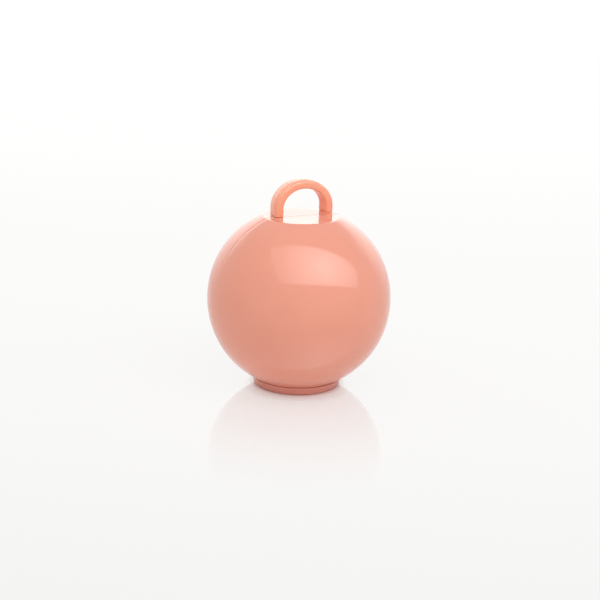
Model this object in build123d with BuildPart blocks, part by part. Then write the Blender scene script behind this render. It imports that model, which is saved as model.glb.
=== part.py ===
from build123d import *
import os
from math import asin, atan2, degrees, sqrt

# Balloon weight: a hollow plastic ball of two half shells, split in the plane of
# its ribbon loop, with a flat land on top, a round foot cap below and sand inside.
# Millimetres, +Z up, the foot stands on z = 0, X runs along the loop, the front is -Y.

# Ball
ball_diameter = 55.0
shell_wall = 1.6
land_diameter = 22.9
seat_diameter = 25.7
land_edge_radius = 2.0
seam_chamfer = 0.12

# Lip that centres one half shell in the other along the seam
lip_thickness = 0.7
lip_length = 1.3
lip_root = 0.6
lip_setback = 0.1
lip_clearance = 0.08
lip_end_gap = 1.0

# Loop: a flat band with rounded edges on two short straight legs, arched as a half ellipse
loop_span = 16.0
loop_leg_height = 2.05
loop_rise = 6.9
loop_thickness = 2.5
loop_depth = 5.4
loop_edge_radius = 0.7

# Shoe at the foot of each leg, drawn in a little from the band
shoe_height = 0.85
shoe_inset = 0.12

# Tang under each shoe and the toe at its end, turned inwards, which the two half shells trap
tang_thickness = 1.4
tang_depth = 4.0
tang_clearance = 0.08
toe_width = 3.2
toe_thickness = 1.3

# Foot cap, with the spigot that plugs the filling neck
foot_diameter = 26.9
foot_height = 2.2
foot_taper = 0.8
foot_edge_radius = 0.4
foot_rim_width = 2.4
foot_recess = 0.9
cap_floor = 1.3
spigot_wall = 1.4
spigot_height = 4.6
spigot_clearance = 0.05
spigot_lead = 0.5

# Filling neck inside the ball, with the groove for the spigot's snap bead
neck_bore = 20.0
neck_wall = 1.5
neck_height = 5.0
bead_radius = 0.35
bead_height = 3.2
bead_clearance = 0.1

# Sand fill
fill_height = 27.4
fill_clearance = 0.15

# Sizes worked out from those above
ball_radius = ball_diameter / 2
inner_radius = ball_radius - shell_wall
foot_radius = foot_diameter / 2
foot_base_radius = foot_radius - foot_taper
seat_radius = seat_diameter / 2
land_radius = land_diameter / 2
bore_radius = neck_bore / 2
neck_radius = bore_radius + neck_wall
spigot_radius = bore_radius - spigot_clearance
cup_radius = spigot_radius - spigot_wall
centre_z = foot_height + sqrt(ball_radius**2 - seat_radius**2)
land_z = centre_z + sqrt(ball_radius**2 - land_radius**2)
ceiling_z = land_z - shell_wall
toe_top_z = ceiling_z - tang_clearance
neck_top_z = foot_height + neck_height
spigot_top_z = foot_height + spigot_height
collar_top_z = max(neck_top_z, spigot_top_z)
bead_z = foot_height + bead_height
cap_floor_z = foot_recess + cap_floor
shoe_top_z = land_z + shoe_height
springing_z = shoe_top_z + loop_leg_height
leg_x = loop_span / 2
toe_x = leg_x + (tang_thickness - toe_width) / 2
shoe_thickness = loop_thickness - 2 * shoe_inset
shoe_depth = loop_depth - 2 * shoe_inset
lip_bottom_z = neck_top_z + lip_end_gap
lip_top_z = ceiling_z - lip_end_gap
lip_outer_radius = inner_radius + lip_setback + lip_thickness


def ball_angle(x: float, z: float) -> float:
    """Angle of a point of the section about the ball's centre, in degrees from +X."""
    return degrees(atan2(z - centre_z, x))


def depth_on_ball(radius: float, x: float) -> float:
    """Height of the lower half of a ball of this radius at a distance x from the axis."""
    return centre_z - sqrt(radius**2 - x**2)


# Half ball, the form that both shells share, on the front side of the seam
with BuildPart() as half_ball:
    with BuildSketch(Plane.XZ) as wall_section:
        with BuildLine():
            ceiling_x = sqrt(inner_radius**2 - (ceiling_z - centre_z) ** 2)
            outer_start = ball_angle(seat_radius, foot_height)
            outer_end = ball_angle(land_radius, land_z)
            inner_start = ball_angle(neck_radius, depth_on_ball(inner_radius, neck_radius))
            inner_end = ball_angle(ceiling_x, ceiling_z)
            outer = CenterArc((0, centre_z), ball_radius, outer_start, outer_end - outer_start)
            inner = CenterArc((0, centre_z), inner_radius, inner_start, inner_end - inner_start)
            Polyline(outer @ 1, (0, land_z), (0, ceiling_z), inner @ 1)
            Polyline(
                inner @ 0,
                (neck_radius, neck_top_z),
                (bore_radius, neck_top_z),
                (bore_radius, foot_height),
                outer @ 0,
            )
        make_face()
        land_corner = wall_section.vertices().sort_by_distance((land_radius, land_z))[0]
        fillet(land_corner, land_edge_radius)
        with Locations((spigot_radius, bead_z)):
            Circle(bead_radius + bead_clearance, mode=Mode.SUBTRACT)
    revolve(axis=-Axis.Z, revolution_arc=180)
    seam_arcs = half_ball.edges().filter_by(GeomType.CIRCLE).group_by(SortBy.RADIUS)[-1]
    chamfer(seam_arcs, seam_chamfer)
    with BuildSketch(Plane.XY.offset(land_z)):
        with Locations((-leg_x, 0), (leg_x, 0)):
            Rectangle(tang_thickness + 2 * tang_clearance, tang_depth + 2 * tang_clearance)
    extrude(amount=-(shell_wall + tang_clearance), mode=Mode.SUBTRACT)

# Front half shell, with the lip that reaches past the seam on both flanks
with BuildPart() as front_shell:
    add(half_ball.part)
    with BuildSketch(Plane.XZ.offset(lip_root)):
        with Locations((0, centre_z)):
            Circle(lip_outer_radius)
            Circle(inner_radius + lip_setback, mode=Mode.SUBTRACT)
        with Locations((0, (lip_bottom_z + lip_top_z) / 2)):
            Rectangle(ball_diameter, lip_top_z - lip_bottom_z, mode=Mode.INTERSECT)
    extrude(amount=-(lip_root + lip_length))

# Rear half shell, the mirror image with a rebate that takes the lip
with BuildPart() as rear_shell:
    mirror(half_ball.part, about=Plane.XZ)
    with BuildSketch(Plane.XZ):
        with Locations((0, centre_z)):
            Circle(lip_outer_radius + lip_clearance)
            Circle(inner_radius - shell_wall, mode=Mode.SUBTRACT)
        with Locations((0, (lip_bottom_z + lip_top_z) / 2)):
            rebate_height = lip_top_z - lip_bottom_z + 2 * lip_clearance
            Rectangle(ball_diameter, rebate_height, mode=Mode.INTERSECT)
    extrude(amount=-(lip_length + lip_clearance), mode=Mode.SUBTRACT)

# Loop, whose shoes stand on the land, with a tang through it and a toe under it at each leg
with BuildPart() as loop:
    with BuildSketch(Plane((-leg_x, 0, land_z))):
        RectangleRounded(shoe_thickness, shoe_depth, loop_edge_radius - shoe_inset)
    extrude(amount=shoe_height)
    mirror(about=Plane.YZ)
    with BuildLine(Plane.XZ) as arch:
        Line((-leg_x, shoe_top_z), (-leg_x, springing_z))
        EllipticalCenterArc((0, springing_z), leg_x, loop_rise, arc_size=180)
        Line((leg_x, springing_z), (leg_x, shoe_top_z))
    with BuildSketch(Plane((-leg_x, 0, shoe_top_z))):
        RectangleRounded(loop_thickness, loop_depth, loop_edge_radius)
    sweep(path=arch.line)
    with BuildSketch(Plane.XZ):
        with Locations((-leg_x, land_z), (leg_x, land_z)):
            Rectangle(
                tang_thickness, shell_wall + tang_clearance, align=(Align.CENTER, Align.MAX)
            )
        with Locations((-toe_x, toe_top_z), (toe_x, toe_top_z)):
            Rectangle(toe_width, toe_thickness, align=(Align.CENTER, Align.MAX))
    extrude(amount=tang_depth / 2, both=True)

# Foot cap: the ring that the weight stands on, its floor and the spigot in the neck
with BuildPart() as base_cap:
    with BuildSketch(Plane.XZ) as cap_section:
        with BuildLine():
            recess_radius = foot_base_radius - foot_rim_width
            Polyline(
                (0, foot_recess),
                (recess_radius, foot_recess),
                (recess_radius, 0),
                (foot_base_radius, 0),
                (foot_radius, foot_height),
                (spigot_radius, foot_height),
                (spigot_radius, spigot_top_z),
                (cup_radius, spigot_top_z),
                (cup_radius, cap_floor_z),
                (0, cap_floor_z),
                close=True,
            )
        make_face()
        foot_corner = cap_section.vertices().sort_by_distance((foot_base_radius, 0))[0]
        fillet(foot_corner, foot_edge_radius)
        lead_corner = cap_section.vertices().sort_by_distance((spigot_radius, spigot_top_z))[0]
        chamfer(lead_corner, spigot_lead)
        with Locations((spigot_radius, bead_z)):
            Circle(bead_radius)
    revolve(axis=Axis.Z)

# Sand, lying in the cap's cup, round the neck and up the ball's wall to a level top
with BuildPart() as ballast:
    with BuildSketch(Plane.XZ):
        with BuildLine():
            sand_radius = inner_radius - fill_clearance
            sand_cup_radius = cup_radius - fill_clearance
            sand_neck_radius = neck_radius + fill_clearance
            sand_start = ball_angle(sand_neck_radius, depth_on_ball(sand_radius, sand_neck_radius))
            sand_end = degrees(asin((fill_height - centre_z) / sand_radius))
            bank = CenterArc((0, centre_z), sand_radius, sand_start, sand_end - sand_start)
            Polyline(
                bank @ 1,
                (0, fill_height),
                (0, cap_floor_z),
                (sand_cup_radius, cap_floor_z),
                (sand_cup_radius, collar_top_z + fill_clearance),
                (sand_neck_radius, collar_top_z + fill_clearance),
                bank @ 0,
            )
        make_face()
    revolve(axis=Axis.Z)

front_shell.part.label = "front_shell"
rear_shell.part.label = "rear_shell"
loop.part.label = "loop"
base_cap.part.label = "base_cap"
ballast.part.label = "ballast"

os.makedirs("parts", exist_ok=True)
export_step(front_shell.part, "parts/front_shell.step")
export_step(rear_shell.part, "parts/rear_shell.step")
export_step(loop.part, "parts/loop.step")
export_step(base_cap.part, "parts/base_cap.step")
export_step(ballast.part, "parts/ballast.step")
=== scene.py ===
"""A ball-shaped balloon weight in glossy coral plastic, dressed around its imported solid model.

All lengths are in metres in the model's own frame: +Z up, the foot stands on z = 0, X runs along the
ribbon loop and the front faces -Y. A length given in millimetres is written as a number times MM.
"""

import logging
from dataclasses import dataclass
from enum import Enum
from typing import Any

import bmesh
import bpy
import numpy as np
from mathutils import Matrix, Vector
from numpy.typing import NDArray


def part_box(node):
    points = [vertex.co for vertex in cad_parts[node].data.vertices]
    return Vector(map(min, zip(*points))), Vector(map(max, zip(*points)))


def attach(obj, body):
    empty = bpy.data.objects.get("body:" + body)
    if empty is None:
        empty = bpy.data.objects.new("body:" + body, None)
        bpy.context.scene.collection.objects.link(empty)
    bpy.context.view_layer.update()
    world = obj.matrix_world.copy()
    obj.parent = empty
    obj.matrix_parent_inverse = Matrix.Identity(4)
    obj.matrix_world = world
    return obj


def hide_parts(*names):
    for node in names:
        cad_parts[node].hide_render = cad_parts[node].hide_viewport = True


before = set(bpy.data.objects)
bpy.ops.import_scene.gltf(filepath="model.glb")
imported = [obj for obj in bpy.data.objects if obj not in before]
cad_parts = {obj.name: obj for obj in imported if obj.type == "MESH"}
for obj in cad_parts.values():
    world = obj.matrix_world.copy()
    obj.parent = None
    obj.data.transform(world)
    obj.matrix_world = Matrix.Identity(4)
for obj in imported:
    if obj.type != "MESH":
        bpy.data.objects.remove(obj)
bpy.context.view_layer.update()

Array = NDArray[np.float64]
Indices = NDArray[np.int64]
Color = tuple[float, float, float]
Direction = tuple[float, float, float]
Stops = tuple[tuple[float, float], ...]
Object = bpy.types.Object
Material = bpy.types.Material
Tree = bpy.types.NodeTree
Node = bpy.types.Node
Socket = bpy.types.NodeSocket

MM = 0.001
BODY = "root"
WELD_DISTANCE = 1e-7
SHARP_ANGLE = np.radians(32)
FLAT_MARGIN = 0.2

log = logging.getLogger("balloon_weight")


class Half(Enum):
    """The two halves of the ball, by the sign of their side of the seam."""

    FRONT = -1
    REAR = 1


def grid_quads(rows: int, columns: int, wrap: bool = False) -> Indices:
    """Works out the quads of a grid of vertices that is numbered row by row.

    Args:
        rows: Number of rows.
        columns: Number of vertices in each row.
        wrap: Whether the last column joins the first.

    Returns:
        One row of four vertex numbers for each quad.
    """
    index = np.arange(rows * columns).reshape(rows, columns)
    here = index if wrap else index[:, :-1]
    beside = np.roll(index, -1, axis=1) if wrap else index[:, 1:]
    return np.stack([here[:-1], here[1:], beside[1:], beside[:-1]], axis=-1).reshape(-1, 4)


def strip_quads(first: Indices, second: Indices) -> Indices:
    """Quads between two rows of vertices, given by their numbers."""
    return np.stack([first[:-1], first[1:], second[1:], second[:-1]], axis=-1)


def rounded_outline(corners: list[tuple[float, float, float]], steps: int = 7) -> Array:
    """Rounds the inner corners of an open outline of straight runs.

    Each corner becomes a circular arc that is tangent to its two runs. The arc's centre lies on the
    bisector of the corner, and its tangent points lie radius * tan(half the turn) from the corner. A
    point just before and just after each arc keeps the runs flat in smooth shading.

    Args:
        corners: The two coordinates and the rounding of each corner. The ends take no rounding.
        steps: Points on each arc.

    Returns:
        The outline's points, by their two coordinates.
    """
    points = np.array([c[:2] for c in corners])
    pieces = [points[:1]]
    for before, corner, after, (_, _, rounding) in zip(points, points[1:], points[2:], corners[1:]):
        if rounding == 0.0:
            pieces.append(corner[None])
            continue
        run_in = (corner - before) / np.linalg.norm(corner - before)
        run_out = (after - corner) / np.linalg.norm(after - corner)
        cross = run_in[0] * run_out[1] - run_in[1] * run_out[0]
        turn = np.arctan2(cross, run_in @ run_out)
        normal_in = np.sign(turn) * np.array([-run_in[1], run_in[0]])
        centre = corner - run_in * rounding * np.tan(abs(turn) / 2) + normal_in * rounding
        swept = np.linspace(0.0, abs(turn), steps)[:, None]
        arc = centre + rounding * (np.sin(swept) * run_in - np.cos(swept) * normal_in)
        margin = FLAT_MARGIN * rounding
        pieces.append(np.concatenate([arc[:1] - margin * run_in, arc, arc[-1:] + margin * run_out]))
    pieces.append(points[-1:])
    return np.concatenate(pieces)


def make_piece(name: str, vertices: Array, quads: Indices) -> Object:
    """Makes an object of a closed surface, with poles merged, faces outwards and smooth shading.

    Args:
        name: The object's name.
        vertices: The points, as an array whose last axis is X, Y, Z.
        quads: Four vertex numbers for each face.

    Returns:
        The new object, which sits at the origin with its place in its mesh.
    """
    mesh = bpy.data.meshes.new(name)
    mesh.from_pydata(vertices.reshape(-1, 3).tolist(), [], quads.tolist())
    surface = bmesh.new()
    surface.from_mesh(mesh)
    bmesh.ops.remove_doubles(surface, verts=surface.verts, dist=WELD_DISTANCE)
    bmesh.ops.recalc_face_normals(surface, faces=surface.faces)
    surface.to_mesh(mesh)
    surface.free()
    mesh.shade_smooth()
    mesh.set_sharp_from_angle(angle=SHARP_ANGLE)
    piece = bpy.data.objects.new(name, mesh)
    bpy.context.scene.collection.objects.link(piece)
    return piece


def opaque(color: Color) -> tuple[float, float, float, float]:
    """A colour as sockets take it, with full opacity."""
    return (*color, 1.0)


def blank_tree(owner: Material | bpy.types.World) -> Tree:
    """Gives a material or a world an empty node tree and returns that tree."""
    owner.use_nodes = True
    owner.node_tree.nodes.clear()
    return owner.node_tree


def add_node(tree: Tree, kind: str, inputs: dict[str | int, Any] | None = None, **settings: Any) -> Node:
    """Adds a shader node, sets its options and fills its inputs.

    Args:
        tree: The node tree.
        kind: The node's type without the word ShaderNode, such as Math.
        inputs: A value or an output socket for each input, by name or number.
        **settings: The node's options.

    Returns:
        The new node.
    """
    node = tree.nodes.new("ShaderNode" + kind)
    for option, value in settings.items():
        setattr(node, option, value)
    for key, value in (inputs or {}).items():
        if isinstance(value, Socket):
            tree.links.new(value, node.inputs[key])
        else:
            node.inputs[key].default_value = value
    return node


def shader_node(tree: Tree, kind: str, inputs: dict[str | int, Any] | None = None) -> Socket:
    """Adds a shader, an emission or a mix of two and returns its output."""
    return add_node(tree, kind, inputs).outputs[0]


def object_place(tree: Tree) -> Socket:
    """Adds the place on the piece in its own frame, in metres."""
    return add_node(tree, "TexCoord").outputs["Object"]


def math_node(tree: Tree, operation: str, *values: Any) -> Socket:
    """Adds a Math node on the given values or sockets and returns its output."""
    return add_node(tree, "Math", dict(enumerate(values)), operation=operation).outputs[0]


def measure_node(tree: Tree, operation: str, *vectors: Any) -> Socket:
    """Adds a Vector Math node on the given vectors or sockets and returns the value that it measures."""
    node = add_node(tree, "VectorMath", dict(enumerate(vectors)), operation=operation)
    return node.outputs["Value"]


def mix_node(tree: Tree, share: Socket, first: Any, second: Any, data_type: str = "FLOAT") -> Socket:
    """Adds a Mix node that goes from the first value to the second by a share, and returns its output."""
    inputs = {"Factor": share, "A": first, "B": second}
    return add_node(tree, "Mix", inputs, data_type=data_type).outputs["Result"]


def ramp_node(tree: Tree, value: Socket, low: float, high: float, start: float, end: float) -> Socket:
    """Adds a smooth Map Range node that takes low to start and high to end, and returns its output."""
    limits = {"Value": value, "From Min": low, "From Max": high, "To Min": start, "To Max": end}
    node = add_node(tree, "MapRange", limits, interpolation_type="SMOOTHSTEP")
    return node.outputs["Result"]


def steps_node(tree: Tree, value: Socket, stops: Stops) -> Socket:
    """Adds a ramp through several stops.

    Args:
        tree: The node tree.
        value: The socket to read.
        stops: Value and level of each stop, in rising order. The level runs straight between them.

    Returns:
        The level's socket.
    """
    first, last = stops[0][0], stops[-1][0]
    limits = {"Value": value, "From Min": first, "From Max": last}
    share = add_node(tree, "MapRange", limits).outputs["Result"]
    node = add_node(tree, "ValToRGB", {"Fac": share})
    elements = node.color_ramp.elements
    elements[0].position, elements[1].position = 0.0, 1.0
    for place, _ in stops[1:-1]:
        elements.new((place - first) / (last - first))
    for element, (_, level) in zip(elements, stops):
        element.color = (level, level, level, 1.0)
    return node.outputs["Color"]


def shown_rays(tree: Tree) -> Socket:
    """Adds a mask: 1 for what the camera sees, also in gloss and through glass, and 0 for diffuse light."""
    path = add_node(tree, "LightPath").outputs
    either = math_node(tree, "MAXIMUM", path["Is Camera Ray"], path["Is Glossy Ray"])
    return math_node(tree, "MAXIMUM", either, path["Is Transmission Ray"])


def new_group(name: str, inputs: dict[str, str], outputs: dict[str, str]) -> tuple[Tree, Node, Node]:
    """Starts a shader node group with named sockets.

    Args:
        name: The group's name.
        inputs: Socket type by input name.
        outputs: Socket type by output name.

    Returns:
        The group's tree, its input node and its output node.
    """
    tree = bpy.data.node_groups.new(name, "ShaderNodeTree")
    for in_out, sockets in (("INPUT", inputs), ("OUTPUT", outputs)):
        for socket, kind in sockets.items():
            tree.interface.new_socket(name=socket, in_out=in_out, socket_type=kind)
    return tree, tree.nodes.new("NodeGroupInput"), tree.nodes.new("NodeGroupOutput")


@dataclass(frozen=True)
class Mottle:
    """A noise over a piece, and the levels between which its pattern comes up.

    Attributes:
        scale: Features to the metre.
        detail: Number of finer noises that are added.
        roughness: Share that each of them keeps of the one before.
        low: Level of the noise at which the pattern starts.
        high: Level at which it is full.
    """

    scale: float
    detail: float
    roughness: float = 0.5
    low: float = 0.0
    high: float = 1.0

    def noise(self, tree: Tree) -> Socket:
        """Adds the noise and returns its level."""
        spread = {"Scale": self.scale, "Detail": self.detail, "Roughness": self.roughness}
        inputs = {"Vector": object_place(tree), **spread}
        return add_node(tree, "TexNoise", inputs).outputs["Fac"]

    def mask(self, tree: Tree) -> Socket:
        """Adds a mask that rises smoothly from 0 at the low level of the noise to 1 at the high one."""
        return ramp_node(tree, self.noise(tree), self.low, self.high, 0.0, 1.0)


TONE_PATCHES = Mottle(scale=70.0, detail=3.0, low=0.3, high=0.7)
SPECK_AREAS = Mottle(scale=190.0, detail=0.0, low=0.62, high=0.74)
RUBBED_SPOTS = Mottle(scale=330.0, detail=5.0, roughness=0.65, low=0.55, high=0.8)
SKIN_WAVES = Mottle(scale=95.0, detail=1.0)
SKIN_GRAIN = Mottle(scale=1900.0, detail=2.0)
GRAIN_SHARE = 0.03
SPECK_SCALE = 210.0
SPECK_CORE = 0.02
SPECK_EDGE = 0.06


def moulded_skin_group() -> Tree:
    """Builds the shared skin of a moulded piece: tone, pigment specks, rubbed spots and a slight waviness.

    Slow noise shifts the tone, sparse cells give pigment specks, a thresholded noise gives rubbed spots,
    and the height adds a share of fine grain to the slow waviness of a cooled skin.

    Returns:
        The node group, with outputs Color, Roughness and Height.
    """
    tree, given, result = new_group(
        "moulded_skin",
        {
            "Color": "NodeSocketColor",
            "Deep Color": "NodeSocketColor",
            "Speck Color": "NodeSocketColor",
            "Roughness": "NodeSocketFloat",
            "Rubbed Roughness": "NodeSocketFloat",
        },
        {"Color": "NodeSocketColor", "Roughness": "NodeSocketFloat", "Height": "NodeSocketFloat"},
    )
    value = given.outputs
    toned = mix_node(tree, TONE_PATCHES.mask(tree), value["Color"], value["Deep Color"], "RGBA")
    cells = add_node(tree, "TexVoronoi", {"Vector": object_place(tree), "Scale": SPECK_SCALE})
    in_cell = ramp_node(tree, cells.outputs["Distance"], SPECK_CORE, SPECK_EDGE, 1.0, 0.0)
    speck = math_node(tree, "MULTIPLY", in_cell, SPECK_AREAS.mask(tree))
    rubbed = RUBBED_SPOTS.mask(tree)
    skin = {
        "Color": mix_node(tree, speck, toned, value["Speck Color"], "RGBA"),
        "Roughness": mix_node(tree, rubbed, value["Roughness"], value["Rubbed Roughness"]),
        "Height": math_node(
            tree, "MULTIPLY_ADD", SKIN_GRAIN.noise(tree), GRAIN_SHARE, SKIN_WAVES.noise(tree)
        ),
    }
    for name, socket in skin.items():
        tree.links.new(socket, result.inputs[name])
    return tree


@dataclass(frozen=True)
class PlasticFinish:
    """Glossy moulded plastic.

    Attributes:
        name: The material's name.
        color: Main colour.
        deep_color: Colour of the slightly deeper patches.
        speck_color: Colour of the pigment specks.
        roughness: Roughness of the clean skin.
        rubbed_roughness: Roughness of rubbed spots.
        glow: Share of the light that scatters under the skin.
        glow_depth: How far that light spreads.
        glow_spread: Share of that distance for red, green and blue.
        wave_height: Height of the skin's waviness.
        refraction: Refractive index.
    """

    name: str
    color: Color
    deep_color: Color
    speck_color: Color = (0.72, 0.26, 0.18)
    roughness: float = 0.1
    rubbed_roughness: float = 0.17
    glow: float = 0.0
    glow_depth: float = 1.0 * MM
    glow_spread: Color = (1.0, 0.35, 0.22)
    wave_height: float = 0.012 * MM
    refraction: float = 1.5

    def material(self, skin: Tree) -> Material:
        """Builds the material on the shared moulded skin.

        Args:
            skin: The moulded skin group.

        Returns:
            The new material.
        """
        material = bpy.data.materials.new(self.name)
        tree = blank_tree(material)
        surface = add_node(
            tree,
            "Group",
            {
                "Color": opaque(self.color),
                "Deep Color": opaque(self.deep_color),
                "Speck Color": opaque(self.speck_color),
                "Roughness": self.roughness,
                "Rubbed Roughness": self.rubbed_roughness,
            },
            node_tree=skin,
        ).outputs
        waves = {"Strength": 1.0, "Distance": self.wave_height, "Height": surface["Height"]}
        plastic = shader_node(
            tree,
            "BsdfPrincipled",
            {
                "Base Color": surface["Color"],
                "Roughness": surface["Roughness"],
                "Normal": add_node(tree, "Bump", waves).outputs["Normal"],
                "IOR": self.refraction,
                "Subsurface Weight": self.glow,
                "Subsurface Radius": self.glow_spread,
                "Subsurface Scale": self.glow_depth,
            },
        )
        add_node(tree, "OutputMaterial", {"Surface": plastic})
        return material


@dataclass(frozen=True)
class SandFinish:
    """Dry sand: grains of mixed colour with a rough, pitted face."""

    name: str = "dry_sand"
    light: Color = (0.66, 0.54, 0.38)
    dark: Color = (0.36, 0.27, 0.17)
    grain: float = 0.5 * MM
    roughness: float = 0.9

    def material(self) -> Material:
        """Builds the sand: one random shade for each cell of a Voronoi pattern, and the cells as bumps."""
        material = bpy.data.materials.new(self.name)
        tree = blank_tree(material)
        grains = {"Vector": object_place(tree), "Scale": 1.0 / self.grain}
        cells = add_node(tree, "TexVoronoi", grains).outputs
        shade = mix_node(tree, cells["Color"], opaque(self.light), opaque(self.dark), "RGBA")
        pits = {"Distance": self.grain / 2, "Height": cells["Distance"]}
        normal = add_node(tree, "Bump", pits, invert=True).outputs["Normal"]
        face = {"Base Color": shade, "Roughness": self.roughness, "Normal": normal}
        sand = shader_node(tree, "BsdfPrincipled", face)
        add_node(tree, "OutputMaterial", {"Surface": sand})
        return material


def dress(piece: Object, material: Material, *nodes: str) -> Object:
    """Gives a piece its material and slot, sets it on its body and lets it stand for its solid nodes."""
    piece.data.materials.append(material)
    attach(piece, BODY)
    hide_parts(*nodes)
    log.info("%s: %d faces, for %s", piece.name, len(piece.data.polygons), ", ".join(nodes))
    return piece


@dataclass(frozen=True)
class Groove:
    """A skin that dips towards a line: at a distance d from it by depth times (1 - d / reach)^power."""

    reach: float
    depth: float
    power: float

    def dip(self, distance: Array) -> Array:
        """How far the skin dips at these distances from the line."""
        return self.depth * np.clip(1.0 - distance / self.reach, 0.0, 1.0) ** self.power


@dataclass
class BallShells:
    """The ball: two half shells with a flat land on top, which meet in a fine groove in the loop's plane.

    The front half rolls over gently towards the seam, and the rear half ends in a crisp edge. Their dip
    is full above seam_full and falls to faint_share of it at seam_faint. Where the upward part of the
    normal passes land_slope, it falls to land_share. On a small ring the points next to the seam take up
    no more than widest_turn, an angle in radians.
    """

    radius: float
    foot_top: float
    land_height: float
    seat_radius: float = 12.85 * MM
    bore_radius: float = 10.0 * MM
    wall: float = 1.6 * MM
    land_edge: float = 2.0 * MM
    front_edge: Groove = Groove(reach=1.5 * MM, depth=0.17 * MM, power=1.3)
    rear_edge: Groove = Groove(reach=0.2 * MM, depth=0.4 * MM, power=1.2)
    land_share: float = 0.15
    land_slope: float = 0.96
    seam_full: float = 48.5 * MM
    seam_faint: float = 42.0 * MM
    faint_share: float = 0.12
    widest_turn: float = 0.4
    land_rings: int = 28
    edge_rings: int = 16
    ball_rings: int = 150
    seat_rings: int = 4
    groove_turns: int = 12
    open_turns: int = 170

    @classmethod
    def from_frame(cls) -> "BallShells":
        """Reads the ball's radius, its foot and its land from the solid front shell."""
        low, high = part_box("front_shell")
        return cls(radius=-low.y, foot_top=low.z, land_height=high.z)

    @property
    def centre(self) -> float:
        """Height of the ball's centre."""
        return self.foot_top + np.sqrt(self.radius**2 - self.seat_radius**2)

    def outer_outline(self) -> tuple[Array, Array]:
        """Works out the outside from the middle of the land to the bore.

        The land is straight, its edge is an arc tangent to the land and to the ball, the ball is one arc
        about its centre, and the seat is a straight ring.

        Returns:
            The points, as radius and height, and their outward normals.
        """
        edge_z = self.land_height - self.land_edge
        edge_r = np.sqrt((self.radius - self.land_edge) ** 2 - (edge_z - self.centre) ** 2)
        edge_end = np.arctan2(edge_z - self.centre, edge_r)
        ball_end = -np.arccos(self.seat_radius / self.radius)
        land = np.linspace(0.0, edge_r, self.land_rings, endpoint=False)
        edge = np.linspace(np.pi / 2, edge_end, self.edge_rings, endpoint=False)
        ball = np.linspace(edge_end, ball_end, self.ball_rings)
        seat = np.linspace(self.seat_radius, self.bore_radius, self.seat_rings + 1)[1:]
        r = np.concatenate(
            [land, edge_r + self.land_edge * np.cos(edge), self.radius * np.cos(ball), seat]
        )
        z = np.concatenate(
            [
                np.full_like(land, self.land_height),
                edge_z + self.land_edge * np.sin(edge),
                self.centre + self.radius * np.sin(ball),
                np.full_like(seat, self.foot_top),
            ]
        )
        facing = np.concatenate(
            [np.full_like(land, np.pi / 2), edge, ball, np.full_like(seat, -np.pi / 2)]
        )
        return np.stack([r, z], axis=-1), np.stack([np.cos(facing), np.sin(facing)], axis=-1)

    def inner_outline(self) -> Array:
        """Inside of the wall from the middle of the ceiling to the bore: a straight ceiling and one arc."""
        inner = self.radius - self.wall
        ceiling = self.land_height - self.wall
        start = np.arcsin((ceiling - self.centre) / inner)
        end = -np.arccos(self.bore_radius / inner)
        flat_rings = self.land_rings + self.edge_rings
        flat = np.linspace(0.0, inner * np.cos(start), flat_rings, endpoint=False)
        arc = np.linspace(start, end, self.ball_rings + self.seat_rings)
        r = np.concatenate([flat, inner * np.cos(arc)])
        z = np.concatenate([np.full_like(flat, ceiling), self.centre + inner * np.sin(arc)])
        return np.stack([r, z], axis=-1)

    def turns(self, r: Array, reach: float) -> Array:
        """Works out the angles of each ring's points, from one end of the seam to the other.

        The points next to the seam keep fixed distances from it, so that the groove is as wide on the land
        as on the ball. The angle of a point at distance d from the seam on a ring of radius r is
        arcsin(d / r), up to the widest turn. The other points divide the rest of the half turn evenly.

        Args:
            r: Radius of each ring.
            reach: Distance from the seam up to which the points keep fixed distances.

        Returns:
            One row of angles for each ring.
        """
        share = np.linspace(0.0, 1.0, self.groove_turns)
        distance = reach * share
        widest = np.sin(self.widest_turn * share)
        near = np.arcsin(np.minimum(distance / np.maximum(r, WELD_DISTANCE)[:, None], widest))
        between = np.linspace(0.0, 1.0, self.open_turns + 2)[1:-1]
        last = near[:, -1:]
        middle = last + (np.pi - 2 * last) * between
        return np.concatenate([near, middle, np.pi - near[:, ::-1]], axis=1)

    def half_surface(self, half: Half) -> tuple[Array, Array]:
        """Works out the outside and inside of a half shell.

        A point of the outline at radius r and angle a lies at (r cos a, side r sin a). Outside it moves
        inwards along its normal by the dip of this half's edge at its distance from the seam. On the level
        land, where the seam is dressed flush, and down the flanks only a share of the dip is left.

        Args:
            half: Which half.

        Returns:
            The grids of the outside and of the inside, as rings by points by X, Y, Z.
        """
        edge = self.front_edge if half is Half.FRONT else self.rear_edge
        outline, normal = self.outer_outline()
        angle = self.turns(outline[:, 0], edge.reach)
        level = np.clip((normal[:, 1:] - self.land_slope) / (1.0 - self.land_slope), 0.0, 1.0)
        drop = np.interp(outline[:, 1:], [self.seam_faint, self.seam_full], [self.faint_share, 1.0])
        flush = 1.0 + (self.land_share - 1.0) * level
        sink = edge.dip(outline[:, :1] * np.sin(angle)) * drop * flush
        r = outline[:, :1] - sink * normal[:, :1]
        z = outline[:, 1:] - sink * normal[:, 1:]
        outside = np.stack([r * np.cos(angle), half.value * r * np.sin(angle), z], axis=-1)
        inner = self.inner_outline()
        turn = self.turns(inner[:, 0], edge.reach)
        r = inner[:, :1]
        z = np.broadcast_to(inner[:, 1:], turn.shape)
        inside = np.stack([r * np.cos(turn), half.value * r * np.sin(turn), z], axis=-1)
        return outside, inside

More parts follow.
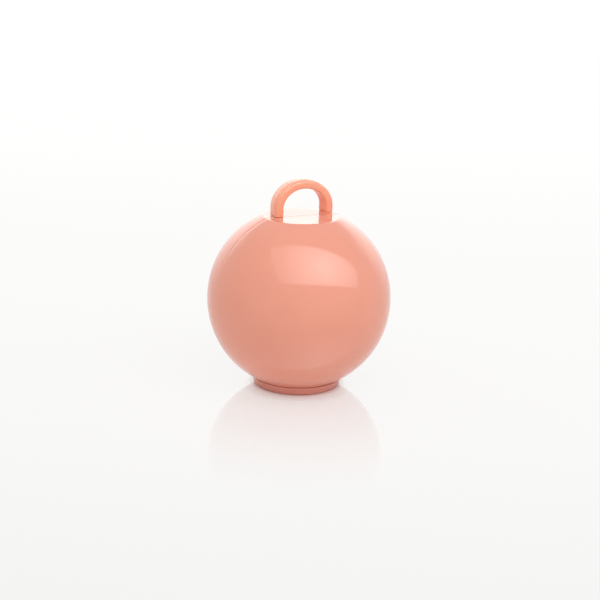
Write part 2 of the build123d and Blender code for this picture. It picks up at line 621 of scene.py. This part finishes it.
    def build(self, half: Half, name: str) -> Object:
        """Builds one half shell as a closed wall.

        Args:
            half: Which half.
            name: The object's name.

        Returns:
            The new object.
        """
        outside, inside = self.half_surface(half)
        rings, points = outside.shape[:2]
        number = np.arange(2 * rings * points).reshape(2, rings, points)
        quads = np.concatenate(
            [
                grid_quads(rings, points),
                grid_quads(rings, points) + rings * points,
                strip_quads(number[0, -1], number[1, -1]),
                strip_quads(number[0, :, 0], number[1, :, 0]),
                strip_quads(number[0, :, -1], number[1, :, -1]),
            ]
        )
        return make_piece(name, np.stack([outside, inside]), quads)


@dataclass
class RibbonLoop:
    """The loop: a flat band with rounded edges on two short legs, arched over them as a half ellipse.

    Each leg stands in a shoe with a fine joint over it, and a parting line runs along the outside. The
    outside tapers away from that line to the front and to the rear, and its front edge is rounder than
    the others. The heights of the joints and of the legs are over the land, and the flare is the radius
    of the hollow where a shoe meets the land.
    """

    outer_x: float
    half_depth: float
    crown: float
    land_height: float
    thickness: float = 2.5 * MM
    edge_rounding: float = 0.6 * MM
    front_rounding: float = 1.0 * MM
    front_taper: float = 0.1 * MM
    rear_taper: float = 0.3 * MM
    left_joint: float = 0.5 * MM
    right_joint: float = 1.2 * MM
    leg_height: float = 2.9 * MM
    shoe_inset: float = 0.03 * MM
    flare: float = 0.15 * MM
    joint_width: float = 0.18 * MM
    joint_depth: float = 0.6 * MM
    joint_rounding: float = 0.04 * MM
    joint_margin: float = 0.12 * MM
    parting: Groove = Groove(reach=0.18 * MM, depth=0.2 * MM, power=1.2)
    parting_y: float = -1.0 * MM
    arch_rings: int = 110
    flare_rings: int = 8
    edge_points: int = 9
    parting_points: int = 9

    @classmethod
    def from_frame(cls) -> "RibbonLoop":
        """Reads the band's reach from the solid loop and its footing from the land."""
        _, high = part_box("loop")
        _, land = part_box("front_shell")
        return cls(outer_x=high.x, half_depth=high.y, crown=high.z, land_height=land.z)

    @property
    def leg_x(self) -> float:
        """Distance of a leg's middle from the axis."""
        return self.outer_x - self.thickness / 2

    def leg_profile(self, joint: float) -> Array:
        """Works out how far the band is drawn in along a leg.

        The shoe meets the land in a small hollow rounding, the joint over it is a square groove, and the
        leg above is full.

        Args:
            joint: Height of the joint over the land.

        Returns:
            The inset and the height over the land of each ring, from the land to just under the springing.
        """
        under = joint - self.joint_width / 2
        over = joint + self.joint_width / 2
        turn = np.linspace(0.0, np.pi / 2, self.flare_rings, endpoint=False)
        out = self.shoe_inset - self.flare * (1.0 - np.sin(turn))
        up = self.flare * (1.0 - np.cos(turn))
        return rounded_outline(
            [
                *((x, z, 0.0) for x, z in zip(out, up)),
                (self.shoe_inset, self.flare, 0.0),
                (self.shoe_inset, under, self.joint_rounding),
                (self.joint_depth, under, 0.0),
                (self.joint_depth, over, 0.0),
                (0.0, over, self.joint_rounding),
                (0.0, over + self.joint_margin, 0.0),
                (0.0, self.leg_height, 0.0),
            ]
        )[:-1]

    def path(self) -> tuple[Array, Array, Array]:
        """Works out the middle line of the band, from one foot over the crown to the other.

        Both legs are straight. Between them the line is (-a cos t, b sin t) about the springing point, for
        t from 0 to pi, with its outward normal along (-b cos t, a sin t).

        Returns:
            The points, as X and Z, their outward normals, and how far the section is drawn in there.
        """
        inset_left, up_left = self.leg_profile(self.left_joint).T
        inset_right, up_right = self.leg_profile(self.right_joint)[::-1].T
        springing = self.land_height + self.leg_height
        rise = self.crown - self.thickness / 2 - springing
        t = np.linspace(0.0, np.pi, self.arch_rings)
        arch = np.stack([-self.leg_x * np.cos(t), springing + rise * np.sin(t)], axis=-1)
        out = np.stack([-rise * np.cos(t), self.leg_x * np.sin(t)], axis=-1)
        out /= np.linalg.norm(out, axis=-1, keepdims=True)
        left = np.stack([np.full_like(up_left, -self.leg_x), self.land_height + up_left], axis=-1)
        right = np.stack([np.full_like(up_right, self.leg_x), self.land_height + up_right], axis=-1)
        points = np.concatenate([left, arch, right])
        normals = np.concatenate(
            [np.broadcast_to([-1.0, 0.0], left.shape), out, np.broadcast_to([1.0, 0.0], right.shape)]
        )
        return points, normals, np.concatenate([inset_left, np.zeros(len(arch)), inset_right])

    def section(self) -> Array:
        """Works out the band's section, as offsets outwards from its middle line and along Y.

        The section is a rounded rectangle whose outer side is bent at the parting line. That side dips
        there, so its points lie close together.

        Returns:
            The section's points in order round it.
        """
        half = self.thickness / 2
        front = half - self.front_taper
        rear = half - self.rear_taper
        near = self.parting_y + self.parting.reach * np.linspace(-1.0, 1.0, self.parting_points)
        around = rounded_outline(
            [
                (0.0, -self.half_depth, 0.0),
                (front, -self.half_depth, self.front_rounding),
                *((half, y, 0.0) for y in near),
                (rear, self.half_depth, self.edge_rounding),
                (-half, self.half_depth, self.edge_rounding),
                (-half, -self.half_depth, self.edge_rounding),
                (0.0, -self.half_depth, 0.0),
            ],
            self.edge_points,
        )[:-1]
        around[:, 0] -= (around[:, 0] > 0) * self.parting.dip(np.abs(around[:, 1] - self.parting_y))
        return around

    def build(self, name: str) -> Object:
        """Carries the section along the path and closes both feet.

        A point of the section at offsets (u, v) lies at the path's point plus u times the normal, and at
        y = v. Where the section is drawn in, u and v shrink by that much of the band's half sizes.

        Args:
            name: The object's name.

        Returns:
            The new object.
        """
        points, normals, inset = self.path()
        section = self.section()
        half_sizes = np.array([self.thickness / 2, self.half_depth])
        scale = 1.0 - inset[:, None] / half_sizes
        scale = np.concatenate([[[0.0, 0.0]], scale, [[0.0, 0.0]]])
        points = np.concatenate([points[:1], points, points[-1:]])
        normals = np.concatenate([normals[:1], normals, normals[-1:]])
        offset = section[None] * scale[:, None]
        surface = np.stack(
            [
                points[:, :1] + offset[..., 0] * normals[:, :1],
                offset[..., 1],
                points[:, 1:] + offset[..., 0] * normals[:, 1:],
            ],
            axis=-1,
        )
        return make_piece(name, surface, grid_quads(len(points), len(section), wrap=True))


@dataclass
class FootCap:
    """The foot: a turned cap with a ring to stand on, a shallow recess below and a spigot in the bore.

    Its upper edge is a thin ledge that reaches out past the foot's radius and up under the ball. The
    taper is how much smaller that radius is at the floor.
    """

    radius: float
    foot_top: float
    spigot_top: float
    taper: float = 0.8 * MM
    edge_rounding: float = 0.6 * MM
    ledge_rounding: float = 0.15 * MM
    ledge_reach: float = 0.5 * MM
    ledge_lift: float = 0.55 * MM
    ledge_width: float = 1.0 * MM
    rim_width: float = 2.4 * MM
    recess: float = 0.9 * MM
    recess_rounding: float = 0.3 * MM
    floor: float = 1.3 * MM
    spigot_radius: float = 9.95 * MM
    spigot_wall: float = 1.4 * MM
    spigot_lead: float = 0.4 * MM
    turns: int = 220

    @classmethod
    def from_frame(cls) -> "FootCap":
        """Reads the foot's radius and spigot top from the solid cap and the foot's top from the ball."""
        _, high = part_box("base_cap")
        shell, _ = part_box("front_shell")
        return cls(radius=high.x, foot_top=shell.z, spigot_top=high.z)

    def build(self, name: str) -> Object:
        """Turns the rounded outline about the axis.

        A point of the outline at radius r and angle a lies at (r cos a, r sin a).

        Args:
            name: The object's name.

        Returns:
            The new object.
        """
        base_r = self.radius - self.taper
        ledge_r = self.radius + self.ledge_reach
        recess_r = base_r - self.rim_width
        cup_r = self.spigot_radius - self.spigot_wall
        outline = rounded_outline(
            [
                (0.0, self.recess, 0.0),
                (recess_r, self.recess, self.recess_rounding),
                (recess_r, 0.0, self.recess_rounding),
                (base_r, 0.0, self.edge_rounding),
                (ledge_r, self.foot_top + self.ledge_lift, self.ledge_rounding),
                (ledge_r - self.ledge_width, self.foot_top, 0.0),
                (self.spigot_radius, self.foot_top, 0.0),
                (self.spigot_radius, self.spigot_top, self.spigot_lead),
                (cup_r, self.spigot_top, self.spigot_lead),
                (cup_r, self.recess + self.floor, self.spigot_lead),
                (0.0, self.recess + self.floor, 0.0),
            ]
        )
        angle = np.linspace(0.0, 2 * np.pi, self.turns, endpoint=False)
        r = outline[:, :1]
        z = np.broadcast_to(outline[:, 1:], (len(outline), self.turns))
        surface = np.stack([r * np.cos(angle), r * np.sin(angle), z], axis=-1)
        return make_piece(name, surface, grid_quads(len(outline), self.turns, wrap=True))


@dataclass(frozen=True)
class Viewpoint:
    """The camera, by its angles about the ball's centre in degrees and its distance.

    The lens and the sensor are in millimetres, and the shifts are shares of the picture.
    """

    azimuth: float = -24.64
    elevation: float = 15.82
    roll: float = 1.72
    distance: float = 389.0 * MM
    near_limit: float = 10.0 * MM
    lens: float = 77.8
    sensor: float = 36.0
    shift_x: float = 0.00197
    shift_y: float = -0.00427

    def axes(self) -> tuple[Vector, Vector, Vector]:
        """Directions of the picture's right, its top and the camera, without the roll."""
        a, e = np.radians([self.azimuth, self.elevation])
        back = Vector((np.sin(a) * np.cos(e), -np.cos(a) * np.cos(e), np.sin(e)))
        right = Vector((np.cos(a), np.sin(a), 0.0))
        return right, back.cross(right), back

    def toward(self, x: float, y: float, z: float) -> Vector:
        """Direction in the model's frame of one given along the picture's right, its top and the camera."""
        right, up, back = self.axes()
        return (right * x + up * y + back * z).normalized()

    def build(self, target: Vector) -> Object:
        """Sets up the scene's camera.

        Args:
            target: The point that the angles and the distance are about.

        Returns:
            The camera.
        """
        right, up, back = self.axes()
        roll = Matrix.Rotation(np.radians(self.roll), 3, "Z")
        turn = Matrix((right, up, back)).transposed() @ roll
        lens = bpy.data.cameras.new("camera")
        lens.lens = self.lens
        lens.sensor_width = self.sensor
        lens.shift_x = self.shift_x
        lens.shift_y = self.shift_y
        lens.clip_start = self.near_limit
        camera = bpy.data.objects.new("camera", lens)
        camera.matrix_world = Matrix.Translation(target + back * self.distance) @ turn.to_4x4()
        bpy.context.scene.collection.objects.link(camera)
        bpy.context.scene.camera = camera
        return camera


@dataclass
class Studio:
    """A glossy pale floor, an even white surround, a panel behind the object and a softbox in front.

    Attributes:
        view: The camera that the panels are placed by.
        target: The ball's centre.
        pieces: The object's pieces, which alone catch the back panel's light.
        white: Colour of the surround.
        fill_left: Level of the light that the surround gives from the left.
        fill_right: Level of the light that it gives from the right.
        fill_top: How much more it gives from straight above than from the sides.
        floor_size: Side of the floor.
        floor_white: Colour of the floor where it is seen.
        floor_matt: Colour of its plain matt.
        floor_falloff_tones: Distance behind the object and the floor's glow there, a painted light falloff.
        shadow_shift: How far the middle of the floor's shadow lies from the axis towards the camera.
        shadow_tones: Distance from that middle and share of plain matt in what is seen of the floor there.
        contact_tones: Distance from the axis and share of plain matt there, if more than the shadow's.
        mirror_color: Colour of the floor's mirror.
        mirror_roughness: Its roughness.
        mirror_tones: Distance from the axis and share of the mirror in the floor there.
        mirror_lean: How far the mirror's normal leans back, which is forwards if negative.
        panel_distance: Distance of the back panel from the axis.
        panel_span: Angle in degrees that it reaches to each side.
        panel_low: Height of its lower edge.
        panel_high: Height of its upper edge.
        panel_tones: Distance from the panel's middle and what it adds to the surround there.
        panel_fade: Height on the panel and share of that light there.
        softbox_distance: Distance of the softbox from the ball's centre.
        softbox_net: Directions of the softbox's low, middle and high rows, each from left to right.
        softbox_hot: Direction of its brightest spot, along the picture's right, its top and the camera.
        softbox_tones: Distance from that spot and level there, as it is mirrored.
        softbox_share: Share of that level that the softbox gives as light.
    """

    view: Viewpoint
    target: Vector
    pieces: list[Object]
    white: Color = (1.0, 1.0, 1.0)
    fill_left: float = 0.78
    fill_right: float = 0.16
    fill_top: float = 0.14
    floor_size: float = 6.0
    floor_points: int = 3
    floor_white: Color = (1.0, 0.997, 0.99)
    floor_matt: Color = (0.88, 0.87, 0.86)
    floor_falloff_tones: Stops = ((-0.15, 0.91), (-0.05, 0.957), (0.1, 0.99), (0.45, 1.055), (2.4, 1.12))
    shadow_shift: float = 3.0 * MM
    shadow_tones: Stops = (
        (0.0095, 0.9), (0.0105, 0.6), (0.012, 0.4), (0.015, 0.2),
        (0.0165, 0.11), (0.025, 0.09), (0.05, 0.08),
    )
    contact_tones: Stops = ((0.0125, 1.0), (0.0135, 0.65), (0.015, 0.1))
    mirror_color: Color = (0.95, 0.945, 0.94)
    mirror_roughness: float = 0.06
    mirror_tones: Stops = (
        (0.012, 0.52), (0.015, 0.38), (0.019, 0.27), (0.027, 0.22),
        (0.043, 0.15), (0.065, 0.05), (0.08, 0.0),
    )
    mirror_lean: float = -0.02
    panel_distance: float = 0.2
    panel_span: float = 60.0
    panel_low: float = 5.0 * MM
    panel_high: float = 180.0 * MM
    panel_columns: int = 49
    panel_rows: int = 11
    panel_tones: Stops = (
        (0.0, 1.5), (0.03, 1.4), (0.06, 1.12), (0.1, 1.02),
        (0.13, 0.9), (0.15, 0.75), (0.173, 0.4),
    )
    panel_fade: Stops = (
        (0.005, 0.0), (0.03, 0.2), (0.06, 0.48), (0.085, 0.8),
        (0.1, 1.0), (0.145, 1.0), (0.165, 0.35), (0.18, 0.0),
    )
    softbox_distance: float = 0.6
    softbox_net: tuple[tuple[Direction, ...], ...] = (
        ((-0.674, -0.540, 0.504), (-0.075, -0.863, 0.496), (0.777, -0.576, 0.253)),
        ((-0.66, -0.27, 0.70), (-0.02, -0.60, 0.80), (0.798, -0.384, 0.467)),
        ((-0.499, 0.121, 0.858), (0.045, -0.197, 0.98), (0.551, -0.335, 0.763)),
    )
    softbox_hot: Direction = (0.45, 0.58, 0.68)
    softbox_points: int = 25
    softbox_tones: Stops = ((0.0, 6.0), (0.2, 4.2), (0.5, 1.9))
    softbox_share: float = 0.54

    @property
    def aside(self) -> Vector:
        """Level direction to the picture's right."""
        return self.view.axes()[0]

    @property
    def behind(self) -> Vector:
        """Level direction from the camera to the object and on past it."""
        back = self.view.axes()[2]
        return Vector((-back.x, -back.y, 0.0)).normalized()

    def surround(self) -> None:
        """Builds the world: white to the camera and in gloss, and a soft level for the light it gives."""
        world = bpy.data.worlds.new("surround")
        bpy.context.scene.world = world
        tree = blank_tree(world)
        direction = add_node(tree, "TexCoord").outputs["Generated"]
        across = measure_node(tree, "DOT_PRODUCT", direction, self.aside)
        level = steps_node(tree, across, ((-1.0, self.fill_left), (1.0, self.fill_right)))
        upward = add_node(tree, "SeparateXYZ", {"Vector": direction}).outputs["Z"]
        fill = math_node(tree, "MULTIPLY_ADD", upward, self.fill_top, level)
        strength = mix_node(tree, shown_rays(tree), fill, 1.0)
        light = {"Color": opaque(self.white), "Strength": strength}
        background = shader_node(tree, "Background", light)
        add_node(tree, "OutputWorld", {"Surface": background})

    def floor_material(self) -> Material:
        """Builds the floor: near white where it is seen, plain matt for its bounce light, and a mirror.

        What is seen of it glows brighter further behind the object, a painted light falloff. It has a share
        of the plain matt, which catches the object's shadow, and the mirror fades with the distance from
        the object.

        Returns:
            The new material.
        """
        material = bpy.data.materials.new("pale_floor")
        tree = blank_tree(material)
        place = object_place(tree)
        # The floor's glow is a painted light falloff: darker in front of the object, brighter behind it.
        tone = steps_node(tree, measure_node(tree, "DOT_PRODUCT", place, self.behind), self.floor_falloff_tones)
        glow = {"Color": opaque(self.floor_white), "Strength": tone}
        white = shader_node(tree, "Emission", glow)
        matt = shader_node(tree, "BsdfDiffuse", {"Color": opaque(self.floor_matt)})
        reach = measure_node(tree, "LENGTH", place)
        shade = measure_node(tree, "DISTANCE", place, self.behind * -self.shadow_shift)
        shadow = steps_node(tree, shade, self.shadow_tones)
        contact = steps_node(tree, reach, self.contact_tones)
        share = math_node(tree, "MAXIMUM", contact, shadow)
        shown = shader_node(tree, "MixShader", {0: share, 1: white, 2: matt})
        base = shader_node(tree, "MixShader", {0: shown_rays(tree), 1: matt, 2: shown})
        lean = self.behind * self.mirror_lean
        normal = add_node(tree, "CombineXYZ", {"X": lean.x, "Y": lean.y, "Z": 1.0})
        gloss = shader_node(
            tree,
            "BsdfGlossy",
            {
                "Color": opaque(self.mirror_color),
                "Roughness": self.mirror_roughness,
                "Normal": normal.outputs[0],
            },
        )
        mirror = steps_node(tree, reach, self.mirror_tones)
        both = shader_node(tree, "MixShader", {0: mirror, 1: base, 2: gloss})
        add_node(tree, "OutputMaterial", {"Surface": both})
        return material

    def panel_material(self) -> Material:
        """Builds the back panel's light, which fades to its edges and adds to what lies behind it."""
        material = bpy.data.materials.new("back_panel")
        tree = blank_tree(material)
        place = object_place(tree)
        across = math_node(tree, "ABSOLUTE", measure_node(tree, "DOT_PRODUCT", place, self.aside))
        height = add_node(tree, "SeparateXYZ", {"Vector": place}).outputs["Z"]
        share = steps_node(tree, height, self.panel_fade)
        level = math_node(tree, "MULTIPLY", share, steps_node(tree, across, self.panel_tones))
        light = shader_node(tree, "Emission", {"Strength": level})
        clear = shader_node(tree, "BsdfTransparent")
        both = shader_node(tree, "AddShader", {0: light, 1: clear})
        add_node(tree, "OutputMaterial", {"Surface": both})
        return material

    def softbox_material(self) -> Material:
        """Builds the softbox's light, brightest at one spot and fuller in gloss than as diffuse light."""
        material = bpy.data.materials.new("softbox_cloth")
        tree = blank_tree(material)
        hot = self.target + self.softbox_distance * self.view.toward(*self.softbox_hot)
        gap = measure_node(tree, "DISTANCE", object_place(tree), hot)
        tone = steps_node(tree, gap, self.softbox_tones)
        share = mix_node(tree, shown_rays(tree), self.softbox_share, 1.0)
        level = math_node(tree, "MULTIPLY", tone, share)
        light = shader_node(tree, "Emission", {"Strength": level})
        add_node(tree, "OutputMaterial", {"Surface": light})
        return material

    def add_stage(self, name: str, points: Array, material: Material) -> Object:
        """Adds a sheet of the studio.

        Args:
            name: The object's name.
            points: The sheet's grid, as rows by columns by X, Y, Z.
            material: Its material.

        Returns:
            The new object.
        """
        mesh = bpy.data.meshes.new(name)
        mesh.from_pydata(points.reshape(-1, 3).tolist(), [], grid_quads(*points.shape[:2]).tolist())
        mesh.materials.append(material)
        sheet = bpy.data.objects.new(name, mesh)
        bpy.context.scene.collection.objects.link(sheet)
        return sheet

    def floor(self) -> Object:
        """Lays the floor, a wide square at the foot's height."""
        side = np.linspace(-self.floor_size / 2, self.floor_size / 2, self.floor_points)
        x, y = np.meshgrid(side, side, indexing="ij")
        return self.add_stage("floor", np.stack([x, y, np.zeros_like(x)], axis=-1), self.floor_material())

    def back_panel(self) -> Object:
        """Hangs the back panel: part of an upright cylinder behind the object, brightest in its middle.

        A point at angle a from the level direction behind the object lies at distance * (behind cos a +
        aside sin a). The panel is clear and adds its light to the surround behind it. Its light falls on
        the object alone, so the floor doesn't mirror it.

        Returns:
            The panel, which the camera doesn't see.
        """
        a = np.radians(np.linspace(-self.panel_span, self.panel_span, self.panel_columns))[:, None, None]
        z = np.linspace(self.panel_low, self.panel_high, self.panel_rows)[None, :, None]
        ring = np.array(self.behind) * np.cos(a) + np.array(self.aside) * np.sin(a)
        points = self.panel_distance * ring + z * np.array([0.0, 0.0, 1.0])
        panel = self.add_stage("back_panel", points, self.panel_material())
        panel.visible_camera = False
        lit = bpy.data.collections.new("lit_by_back_panel")
        for piece in self.pieces:
            lit.objects.link(piece)
        panel.light_linking.receiver_collection = lit
        return panel

    def softbox(self) -> Object:
        """Hangs the softbox: a curved panel through a net of directions, brightest towards the right.

        With s and t across and up, each direction is the sum of the net's directions times their quadratic
        weights (1 - s)(1 - 2s), 4s(1 - s) and s(2s - 1), and likewise in t, made one long.

        Returns:
            The softbox, which the camera doesn't see.
        """
        s = np.linspace(0.0, 1.0, self.softbox_points)
        weights = np.stack([(1 - s) * (1 - 2 * s), 4 * s * (1 - s), s * (2 * s - 1)], axis=-1)
        sheet = np.einsum("ai,bj,jik->abk", weights, weights, np.array(self.softbox_net))
        sheet /= np.linalg.norm(sheet, axis=-1, keepdims=True)
        points = np.array(self.target) + self.softbox_distance * sheet
        box = self.add_stage("softbox", points, self.softbox_material())
        box.visible_camera = False
        return box

    def build(self) -> None:
        """Sets up the surround, the floor, the panel and the softbox."""
        self.surround()
        self.floor()
        self.back_panel()
        self.softbox()


CORAL = PlasticFinish("coral_ball", color=(0.855, 0.337, 0.235), deep_color=(0.84, 0.325, 0.225))
# The loop's coral is a little more saturated than the ball's, and lighter as painted light that makes up
# for the shade its legs get near the land.
CORAL_LOOP_LIGHTENED = PlasticFinish(
    "coral_loop_painted_light",
    color=(1.0, 0.41, 0.265),
    deep_color=(0.98, 0.395, 0.25),
    roughness=0.3,
    rubbed_roughness=0.36,
    glow=0.4,
)
# The foot's coral is darker than the ball's: painted shade for the foot's place under the ball.
CORAL_FOOT_SHADED = PlasticFinish(
    "coral_foot_painted_shade",
    color=(0.77, 0.3, 0.225),
    deep_color=(0.75, 0.29, 0.217),
    roughness=0.3,
    rubbed_roughness=0.4,
)


def main() -> None:
    """Builds the weight, its studio and its camera."""
    logging.basicConfig(level=logging.INFO, format="%(name)s: %(message)s")
    bpy.context.scene.view_settings.view_transform = "Standard"
    skin = moulded_skin_group()
    ball = BallShells.from_frame()
    coral = CORAL.material(skin)
    pieces = [
        dress(ball.build(Half.FRONT, "ball_front"), coral, "front_shell"),
        dress(ball.build(Half.REAR, "ball_rear"), coral, "rear_shell"),
        dress(RibbonLoop.from_frame().build("ribbon_loop"), CORAL_LOOP_LIGHTENED.material(skin), "loop"),
        dress(FootCap.from_frame().build("foot_cap"), CORAL_FOOT_SHADED.material(skin), "base_cap"),
    ]
    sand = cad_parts["ballast"]
    sand.data.materials.clear()
    sand.data.materials.append(SandFinish().material())
    target = Vector((0.0, 0.0, ball.centre))
    view = Viewpoint()
    view.build(target)
    Studio(view, target, pieces).build()


if __name__ == "__main__":
    main()
